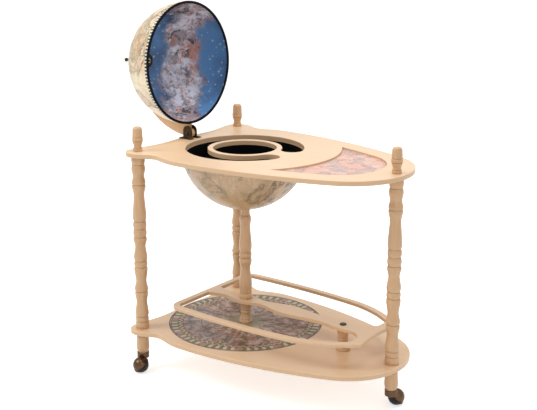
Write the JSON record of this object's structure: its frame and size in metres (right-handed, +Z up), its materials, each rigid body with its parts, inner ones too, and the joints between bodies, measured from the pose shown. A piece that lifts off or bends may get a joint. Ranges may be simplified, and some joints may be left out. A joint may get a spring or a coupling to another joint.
{
  "type": "globe bar trolley",
  "caption": "Globe drinks bar on castors: tear-drop table with sunken glass tray, half-globe bowl, hinged half-globe lid, turned legs and a railed bottle shelf.",
  "frame": {"origin": "on the floor, under the centre of the whole bounding box with the lid open", "axes": "+Z up, +X along the board from the globe to the far leg, +Y to the left of that; the lid's hinge is at the -X end"},
  "size_m": [0.9024, 0.4838, 0.9562],
  "materials": {
    "beige_wood": "pale beige satin lacquer on wood",
    "globe_print": "satin varnished old-map paper on a thin wood-fibre shell",
    "star_lining": "satin printed paper, blue night sky",
    "chart_print": "satin printed paper, pink map",
    "dial_print": "satin printed paper, grey-purple dial",
    "black_plastic": "semi-gloss black plastic",
    "dark_bronze": "dark antique bronze plating",
    "steel": "zinc plated steel",
    "wheel_black": "satin black wheel"
  },
  "bodies": {
    "stand": {"table_top": "beige_wood", "table_print": "chart_print", "shelf_board": "beige_wood", "shelf_print": "dial_print", "top_leg_studs": "steel", "bottom_leg_studs": "steel", "bottle_rail": "beige_wood", "rail_spindle": "beige_wood", "spindle_screw": "steel", "spindle_screw_cap": "dark_bronze", "post_lower": "beige_wood", "post_upper": "beige_wood", "post_screw": "steel", "bowl_shell": "globe_print", "locating_ring": "beige_wood", "locating_ring_screws": "steel", "glass_tray": "black_plastic", "bowl_washer": "steel", "bowl_screw": "steel", "hinge_bracket_front": "dark_bronze", "hinge_bracket_back": "dark_bronze", "hinge_pin": "dark_bronze", "hinge_screws": "dark_bronze", "finial_front": "beige_wood", "upper_leg_front": "beige_wood", "foot_front": "beige_wood", "castor_socket_front": "steel", "finial_back": "beige_wood", "upper_leg_back": "beige_wood", "foot_back": "beige_wood", "castor_socket_back": "steel", "finial_end": "beige_wood", "upper_leg_end": "beige_wood", "foot_end": "beige_wood", "castor_socket_end": "steel"},
    "lid": {"lid_shell": "globe_print", "lid_lining": "star_lining", "lid_rim_trim": "black_plastic", "meridian_arm": "beige_wood", "pole_plate": "dark_bronze", "pole_nut": "steel", "pole_pin": "dark_bronze", "pole_knob": "dark_bronze", "arm_rim_screw": "steel"},
    "castor_front": {"castor_hood_front": "dark_bronze", "castor_axle_front": "steel"},
    "wheel_front": {"castor_wheel_front": "wheel_black"},
    "castor_back": {"castor_hood_back": "dark_bronze", "castor_axle_back": "steel"},
    "wheel_back": {"castor_wheel_back": "wheel_black"},
    "castor_end": {"castor_hood_end": "dark_bronze", "castor_axle_end": "steel"},
    "wheel_end": {"castor_wheel_end": "wheel_black"}
  },
  "joints": [
    {"name": "lid_hinge", "type": "hinge", "parent": "stand", "child": "lid", "pos_m": [-0.21583, 0, 0.606], "axis": [0, 1, 0], "range_deg": [0, 93]},
    {"name": "castor_swivel_front", "type": "hinge", "parent": "stand", "child": "castor_front", "pos_m": [-0.21583, -0.2, 0.049], "axis": [0, 0, 1], "continuous": true},
    {"name": "castor_roll_front", "type": "hinge", "parent": "castor_front", "child": "wheel_front", "pos_m": [-0.20501, -0.22126, 0.021], "axis": [-0.3214, -0.5567, 0.766], "continuous": true},
    {"name": "castor_swivel_back", "type": "hinge", "parent": "stand", "child": "castor_back", "pos_m": [-0.21583, 0.2, 0.049], "axis": [0, 0, 1], "continuous": true},
    {"name": "castor_roll_back", "type": "hinge", "parent": "castor_back", "child": "wheel_back", "pos_m": [-0.22665, 0.22126, 0.021], "axis": [0.3214, 0.5567, 0.766], "continuous": true},
    {"name": "castor_swivel_end", "type": "hinge", "parent": "stand", "child": "castor_end", "pos_m": [0.42617, 0, 0.049], "axis": [0, 0, 1], "continuous": true},
    {"name": "castor_roll_end", "type": "hinge", "parent": "castor_end", "child": "wheel_end", "pos_m": [0.42743, 0.02382, 0.021], "axis": [0.5567, 0.3214, 0.766], "continuous": true}
  ]
}
